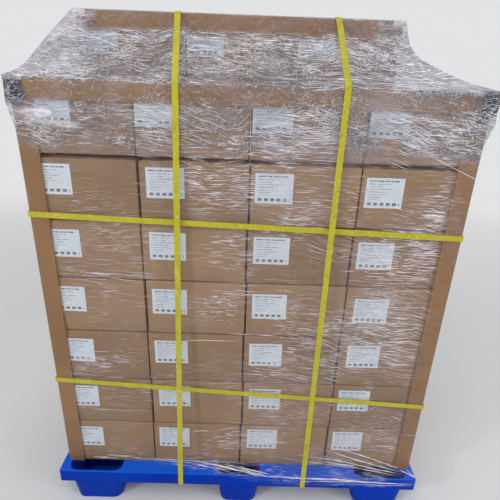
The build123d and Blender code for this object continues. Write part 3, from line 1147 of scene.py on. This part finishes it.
def filmWeights(point, zone, share, normal):
    # The film's fields at a point, each from 0 to 1, but for the pleats from -1
    rightward = fade(point.x, -0.25, 0.45)
    onBoard = fade(point.z, topFoot - 0.006, topFoot + 0.004)
    row7 = fade(point.z, topFoot - 0.140, topFoot - 0.085)
    patches = min(1.0, max(0.0, 0.5 + rollAt(point, 4.2, 4.2, 5.5)))
    small = min(1.0, max(0.0, 0.5 + rollAt(point, 11.0, 11.0, 15.0)))
    haze = 0.012 + 0.11 * patches * (0.20 + 0.80 * rightward)
    crumple = 0.06 * patches
    glareAmount = 0.0
    pleats = 0.0
    streaks = 0.22 + 0.70 * patches * (0.40 + 0.60 * rightward)
    slants = 0.75 * rightward * fade(0.50 + 0.35 * small - abs(point.z - 0.62), 0.0, 0.3)
    facesFront = fade(-normal.y, 0.3, 0.6)
    if zone == "hem":
        if normal.y < -0.5:
            streaks += gathered(filmLook["clusters"], point)
            # Painted glare patches on the front
            glareAmount = gathered(filmLook["glare"], point)
        low = fade(0.07 - (point.z - deckZ), 0.0, 0.06)
        haze += 0.40 * row7 * (0.60 + 0.40 * rightward) * (1 - 0.6 * onBoard)
        crumple += row7 * (0.32 + 0.60 * small) * (1 - 0.10 * onBoard) + 0.3 * low * small
        streaks = (streaks + row7 * 0.30) * (1 - 0.7 * onBoard) + 0.2 * low
        slants += row7 * (0.50 + 0.4 * small) * (1 - 0.6 * onBoard)
        nearBoard = 1 - fade(min(blockHigh.x - point.x, point.x - blockLow.x), 0.040, 0.060)
        calm = 1 - 0.65 * nearBoard * (1 - row7) * facesFront
        haze, streaks, slants = haze * calm, streaks * calm, slants * calm
    elif zone == "shoulder":
        # Tight and clearer over the tier's edge board
        ends = 1 - fade(0.40 - abs(point.x + 0.035), 0.0, 0.05)
        tight = fade(share, 0.70, 0.80) * facesFront * (1 - 0.8 * ends)
        haze += (0.36 + 0.16 * ends) * (1 - 0.90 * tight)
        crumple += (0.50 + 0.40 * small) * (1 - 0.52 * tight)
        streaks = (streaks + 0.50 * (1 - tight)) * (1 - 0.8 * tight)
        slants += 0.45 * (1 - tight)
        pleats = pleatsAt(point, normal) * (1 - 0.5 * tight)
        crumple *= 1 - 0.25 * abs(pleats)
    elif zone == "tierTop":
        haze += 0.12
        crumple += 0.40
    else:
        crumple += 0.10 * small
        streaks = 0.35 + 0.40 * small
        haze *= 0.4
    clamped = [min(1.0, max(0.0, value)) for value in (haze, crumple, streaks, slants, glareAmount)]
    return clamped + [pleats, darkAt(point), coverAt(point, zone, share)]


def makeStreakGroup():
    # Fine bright lines that run one way, broken into lengths and gathered in patches: whitened creases of the
    # film with painted highlights along them
    group, entry, leave = newGroup(
        "filmStreaksAndHighlights",
        ["Vector", "Patch Vector", ("Patch Scale", 8.0), ("Line From", 0.60), ("Line To", 0.66),
         ("Patch From", 0.45), ("Patch To", 0.60)],
        ["Lines", "Height"],
    )
    fine = noiseAt(group, entry["Vector"], 1.0, 2.0, 0.6)
    patch = noiseAt(group, entry["Patch Vector"], entry["Patch Scale"], 2.0, 0.55)
    lines, where = [ramp(group, value, entry[f"{name} From"], entry[f"{name} To"])
                    for name, value in (("Line", fine), ("Patch", patch))]
    plug(group, times(group, lines, where), leave["Lines"])
    plug(group, fine, leave["Height"])
    return group


def makeFilmMaterial():
    look = filmLook
    material, tree, shader = newMaterial("stretchFilm")
    group = makeStreakGroup()
    uv = readUv(tree)
    fields = [readAttribute(tree, name) for name in filmFields]
    haze, crumple, streaks, slants, glareAmount, pleats, dark, cover = fields
    swirl = vectorMaths(tree, "SCALE", {0: noiseAt(tree, uv, 9.0, 2.0, output="Color"), "Scale": 0.020})
    bent = vectorMaths(tree, "ADD", {0: uv, 1: swirl})

    # One family of lines: whitened creases of the film with painted highlights along them
    def scratches(lengthwise, across, degrees, seed, patches, lineFrom, lineTo, patchFrom, patchTo):
        moved = vectorMaths(tree, "ADD", {0: uv, 1: (seed, seed * 0.7, 0)})
        return useGroup(tree, group, {
            "Vector": along(tree, bent, lengthwise, across, degrees), "Patch Vector": moved,
            "Patch Scale": patches, "Line From": lineFrom, "Line To": lineTo,
            "Patch From": patchFrom, "Patch To": patchTo})

    # Crumple: short fine lines that lie every way, each way in patches of its own, as whitened creases with
    # painted highlights, and tiny painted glints
    crumples = [scratches(*numbers, *look["crumpleEdges"]) for numbers in look["crumples"]]
    crumpled = times(tree, most(tree, *[family["Lines"] for family in crumples]), crumple)
    cells = put(tree, "ShaderNodeTexVoronoi", {"Vector": along(tree, bent, *look["glints"]), "Scale": 1.0})
    red = put(tree, "ShaderNodeSeparateColor", {0: cells.outputs["Color"]}).outputs[0]
    glints = times(tree, ramp(tree, red, 0.93, 0.97), crumple)

    # Level streaks, slanting pulls with shorter ones across them, and the pleats of the tent's corners, all
    # whitened folds with painted highlights
    made = {name: scratches(*numbers) for name, numbers in look["lines"].items()}
    lines = {name: family["Lines"] for name, family in made.items()}
    threads = times(tree, lines["threads"], ramp(tree, streaks, 0.72, 1.0, 0.0, 0.9))
    level = times(tree, most(tree, lines["long"], lines["dashes"], threads), streaks)
    slanting = times(tree, most(tree, lines["pulls"], times(tree, lines["cross"], 0.7)), slants)
    pleated = most(tree, times(tree, lines["rising"], pleats), times(tree, lines["falling"], pleats, -1.0))
    # The lines whiten the film and make it less clear: part whitening of the stretched film, part painted
    # highlight
    bright = most(tree, times(tree, crumpled, 0.62), times(tree, glints, 0.50), times(tree, level, 0.92),
                  times(tree, slanting, 0.88), times(tree, pleated, 0.55),
                  times(tree, lines["brushed"], streaks, 0.22))

    veil = noiseAt(tree, stretched(tree, bent, (1.0, 2.2, 1.0)), 13.0, 5.0, 0.65)
    # The painted glare whitens the film in patches
    glareWhite = times(tree, glareAmount, ramp(tree, veil, 0.38, 0.60, 0.30, 1.60))
    cloudy = plus(tree, times(tree, haze, ramp(tree, veil, 0.34, 0.66, 0.35, 1.65)), glareWhite)
    clear = times(tree, maths(tree, "SUBTRACT", 1.0, cloudy), maths(tree, "SUBTRACT", 1.0, bright))
    alpha = most(tree, maths(tree, "SUBTRACT", 1.0, clear, clamp=True), times(tree, dark, 0.88))
    plug(tree, times(tree, alpha, cover), shader.inputs["Alpha"])

    z = split(tree, readObject(tree))["Z"]
    pale = blendColour(tree, ramp(tree, z, deckZ - 0.002, deckZ + 0.006), look["cool"], look["tone"])
    # Crumpled film takes a grey painted shade
    tone = blendColour(tree, ramp(tree, crumple, 0.32, 0.62), look["haze"], look["shade"])
    tone = blendColour(tree, dark, tone, look["corner"])
    white = most(tree, ramp(tree, bright, 0.05, 0.45), ramp(tree, glareWhite, 0.02, 0.30))
    tone = blendColour(tree, white, tone, pale)
    shader.inputs["IOR"].default_value = look["ior"]
    shader.inputs["Specular IOR Level"].default_value = look["shine"]
    height = plus(tree, times(tree, crumples[0]["Height"], 0.5), times(tree, made["long"]["Height"], 0.7),
                  times(tree, made["pulls"]["Height"], 0.6))
    coat(tree, shader, tone, ramp(tree, bright, 0.0, 1.0, 0.24, 0.40), height, 0.6, 0.0008)
    material.use_backface_culling = False
    return material


def buildFilm(material):
    # The finished web, as what the folds need to lie on it
    rows, heights = buildFilmGrid()
    normals = filmNormals(rows)
    shaped = shapeFilm(rows, normals)
    count = len(rows[0][0])
    zones = [zone for _, zone, _ in rows]
    wall = rows[zones.index("shoulder")][0]
    lengths = [0.0]
    for here, there in zip(wall, wall[1:] + wall[:1]):
        lengths.append(lengths[-1] + (there - here).length)

    weights = []
    for (points, zone, share), facing in zip(rows, normals):
        weights += [filmWeights(point, zone, share, normal) for point, normal in zip(points, facing)]
    fields = dict(zip(filmFields, zip(*weights)))
    faces = []
    uvs = []
    for r in range(len(rows) - 1):
        for c in range(count):
            cell = ((r, c), (r, c + 1), (r + 1, c + 1), (r + 1, c))
            quad = [row * count + column % count for row, column in cell]
            if any(fields["cover"][i] > 0 for i in quad):
                faces.append(quad)
                uvs += [(lengths[column], heights[row]) for row, column in cell]
    film = meshPiece("film_wrap", [point for line in shaped for point in line], faces, uvs, fields)
    editAll(film)
    bpy.ops.mesh.delete_loose()
    leaveEdit()
    dress(film, material, ["stretch_film"])
    return {"shaped": shaped, "normals": normals, "heights": heights, "lengths": lengths, "zones": zones}


# Folds: strands where the web is gathered several layers deep

foldLook = {
    "colour": srgb(248, 249, 252),
    "roughness": 0.24,
    "ior": 1.52,
    "pitch": 0.012,
    "rise": 0.0011,
    "riseAt": 0.004,
    "lift": 0.0004,
    # placed ones on the front, in millimetres: x and reach below the hem at one end, both at the other, width
    "placed": [
        # the gathered pocket under the middle, and the pulls to its left
        (-185, -4, 30, 34, 5.6), (-120, 4, 85, 46, 7.0), (-60, 6, 120, 40, 4.0), (-150, 10, -20, 30, 3.6),
        (0, 18, 110, 46, 4.8), (-500, -10, -440, -3, 4.4), (-475, -13, -405, -4, 4.8),
        (-452, -17, -385, -9, 3.6), (-425, -10, -355, -14, 3.4), (-400, -12, -120, 10, 2.6),
        (-330, -5, -60, 4, 2.2),
        # along the pallet's rim
        (70, 44, 330, 52, 3.6), (140, 50, 420, 52, 5.0), (250, 56, 560, 60, 3.4), (300, 46, 395, 56, 8.5),
        (330, 52, 480, 54, 6.0), (340, 66, 590, 70, 3.0), (380, 58, 597, 62, 3.0), (200, 60, 360, 58, 3.0),
        # the fan down to the right corner
        (300, -62, 560, 22, 5.6), (340, -74, 566, 14, 4.6), (270, -40, 558, 30, 5.0), (390, -60, 570, 8, 4.0),
        (240, -22, 552, 36, 3.6), (180, -46, 420, -6, 3.4), (120, -30, 400, 10, 2.8), (545, 10, 594, 40, 6.0),
        (570, 4, 597, 46, 4.0),
    ],
    "scatter": 70,
    "bow": 0.004,
}


def makeFoldMaterial():
    material, tree, shader = newMaterial("filmFold")
    uv = readUv(tree)
    for name, value in (("Base Color", "colour"), ("Roughness", "roughness"), ("IOR", "ior")):
        shader.inputs[name].default_value = foldLook[value]
    fromMiddle = maths(tree, "ABSOLUTE", maths(tree, "SUBTRACT", split(tree, uv)["Y"], 0.5))
    body = ramp(tree, fromMiddle, 0.24, 0.5, 1.0, 0.15)
    broken = noiseAt(tree, stretched(tree, uv, (26.0, 1.4, 1.0)), 1.0, 4.0, 0.7)
    strands = ramp(tree, broken, 0.36, 0.50, 0.35, 1.0)
    plug(tree, times(tree, body, strands, readAttribute(tree, "fullness")), shader.inputs["Alpha"])
    return material


def cellOf(marks, at):
    # Which cell of a rising list a value is in, and how far into it
    k = max(i for i in range(len(marks) - 1) if marks[i] <= at or i == 0)
    return k, min(1.0, max(0.0, (at - marks[k]) / max(marks[k + 1] - marks[k], 1e-9)))


def filmPlace(film, u, v):
    # Point and outward direction on the shaped web at a distance round it and up it
    r, shareV = cellOf(film["heights"], v)
    c, shareU = cellOf(film["lengths"], u % film["lengths"][-1])
    low, high = [line[c].lerp(line[(c + 1) % len(line)], shareU) for line in film["shaped"][r:r + 2]]
    return low.lerp(high, shareV), film["normals"][r][c]


def strand(film, start, end, width, dice, bow):
    # One fold as a raised ribbon that tapers at both ends, in web distances
    look = foldLook
    run = math.hypot(end[0] - start[0], end[1] - start[1])
    steps = max(4, round(run / look["pitch"]))
    across = Vector((start[1] - end[1], end[0] - start[0])) / run
    seed = dice.uniform(0, 50)
    verts, faces, uvs, fulls = [], [], [], []
    for k in range(steps + 1):
        share = k / steps
        sway = bow * math.sin(math.pi * share) + 0.0016 * noise.noise(Vector((share * run * 18, seed, 0)))
        rough = noise.noise(Vector((share * run * 30, 3, seed)))
        full = min(1.0, 5 * share, 5 * (1 - share)) * (0.75 + 0.5 * rough)
        half = width / 2 * (0.35 + 0.65 * full)
        for side in (-1, 0, 1):
            u, v = Vector(start).lerp(Vector(end), share) + across * (sway + half * side)
            point, normal = filmPlace(film, u, v)
            rise = 0.0 if side else look["rise"] * width / look["riseAt"]
            verts.append(point + normal * (look["lift"] + rise * full))
            uvs.append((share * run, 0.5 + side / 2))
            fulls.append(full)
        if k:
            base = (k - 1) * 3
            faces += [(i, i + 3, i + 4, i + 1) for i in (base, base + 1)]
    return verts, faces, uvs, fulls


def placedFolds(film, dice):
    # Start, end, width and bow of every fold, in web distances: the placed ones, then the scattered ones
    bow = foldLook["bow"]
    hemV = film["heights"][film["zones"].index("hem")]
    left = filmLeft - filmLook["skin"]
    for numbers in foldLook["placed"]:
        x, below, farX, farBelow, width = [number / 1000 for number in numbers]
        yield (x - left, hemV - below), (farX - left, hemV - farBelow), width, dice.uniform(-bow, bow)
    top = max(film["heights"]) - 0.12
    for _ in range(foldLook["scatter"]):
        u = dice.uniform(0.02, film["lengths"][-1] - 0.5)
        high = dice.random() < 0.45
        v = dice.uniform(hemV + 1.0, top) if high else dice.uniform(hemV + 0.02, top)
        run = dice.uniform(0.05, 0.26)
        fall = dice.uniform(-0.5, 0.2) if high else dice.uniform(-0.06, 0.02)
        width = dice.uniform(0.0012, 0.0030)
        yield (u, v), (u + run, v + run * fall), width, dice.uniform(-bow, bow)


def buildFolds(film, material):
    dice = random.Random(23)
    verts, faces, uvs, fulls = [], [], [], []
    for start, end, width, bow in placedFolds(film, dice):
        newVerts, newFaces, newUvs, newFulls = strand(film, start, end, width, dice, bow)
        faces += [[len(verts) + i for i in face] for face in newFaces]
        verts += newVerts
        uvs += newUvs
        fulls += newFulls
    corners = [uvs[i] for face in faces for i in face]
    folds = meshPiece("film_folds", verts, faces, corners, {"fullness": fulls})
    dress(folds, material)
    print("folds:", len(faces), "faces")


# All of it

setUpStudio()
buildCartons(makeCartonMaterial())
buildTape(makeTapeMaterial())
buildLabels(makeLabelMaterial())
recoat([f"corner_board_{a}_{b}" for a in ("front", "back") for b in ("left", "right")]
       + [f"{a}_board_{b}" for a in ("top", "tier") for b in ("front", "back")], makeBoardMaterial())
recoat(["strap_vertical_left", "strap_vertical_right", "strap_girth_upper", "strap_girth_lower"],
       makeStrapMaterial())
recoat(["pallet"], makePalletMaterial())
buildFolds(buildFilm(makeFilmMaterial()), makeFoldMaterial())
